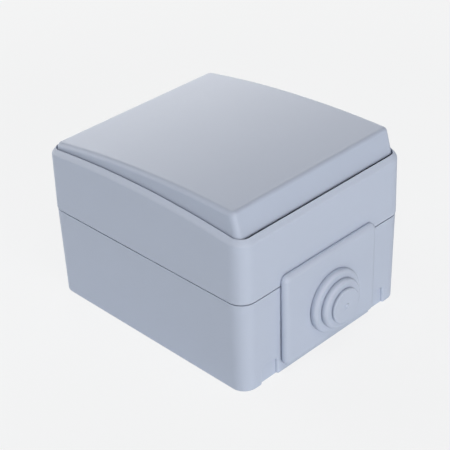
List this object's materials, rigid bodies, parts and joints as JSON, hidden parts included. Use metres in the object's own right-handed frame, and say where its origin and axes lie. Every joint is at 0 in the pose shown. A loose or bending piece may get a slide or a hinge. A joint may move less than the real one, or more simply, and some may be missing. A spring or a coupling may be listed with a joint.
{
  "type": "outdoor weatherproof switch",
  "caption": "Surface-mounted weatherproof light switch: drafted wall box, bevelled cover, arched tilting rocker and stepped cable grommet.",
  "frame": {"origin": "centre of the wall face of the box", "axes": "+Z away from the wall towards the rocker, -Y towards the cable entry, +X to the right"},
  "size_m": [0.059, 0.0769, 0.0494],
  "materials": {
    "housing_plastic": "satin",
    "rocker_plastic": "satin",
    "grommet_rubber": "matte",
    "seal_rubber": "matte",
    "screw_steel": "zinc plated",
    "plate_steel": "zinc plated",
    "insert_plastic": "satin",
    "dolly_plastic": "satin",
    "plunger_plastic": "satin",
    "spring_steel": "bright",
    "contact_brass": "bright",
    "contact_silver": "bright"
  },
  "bodies": {
    "housing": {"base_box": "housing_plastic", "front_cover": "housing_plastic", "cable_grommet": "grommet_rubber", "cover_gasket": "seal_rubber", "window_seal": "seal_rubber", "screw_seals": "seal_rubber", "cover_screws": "screw_steel", "plate_screws": "screw_steel", "terminal_screws": "screw_steel", "support_plate": "plate_steel", "mechanism_body": "insert_plastic", "mechanism_lid": "insert_plastic", "fixed_contact_tip": "contact_silver", "common_terminal": "contact_brass", "switched_terminal": "contact_brass", "terminal_clamps": "contact_brass"},
    "rocker_unit": {"rocker": "rocker_plastic", "dolly": "dolly_plastic", "plunger_spring": "spring_steel"},
    "plunger_unit": {"plunger": "plunger_plastic"},
    "contact_arm": {"moving_contact": "contact_brass", "moving_contact_tip": "contact_silver"}
  },
  "joints": [
    {"name": "rocker_hinge", "type": "hinge", "parent": "housing", "child": "rocker_unit", "pos_m": [0, 0, 0.038], "axis": [1, 0, 0], "range_deg": [0, 8.2]},
    {"name": "contact_seesaw", "type": "hinge", "parent": "housing", "child": "contact_arm", "pos_m": [0, 0, 0.0206], "axis": [1, 0, 0], "range_deg": [-10, 0]},
    {"name": "plunger_slide", "type": "slide", "parent": "rocker_unit", "child": "plunger_unit", "axis": [0, 0.0715, 0.9974], "range_m": [0, 0.0006], "stiffness_N_per_m": 300, "springref_m": -0.002, "deforming": ["plunger_spring"]}
  ],
  "couplings": [
    {"joint": "contact_seesaw", "follows": "rocker_hinge", "ratio": -1.219}
  ]
}
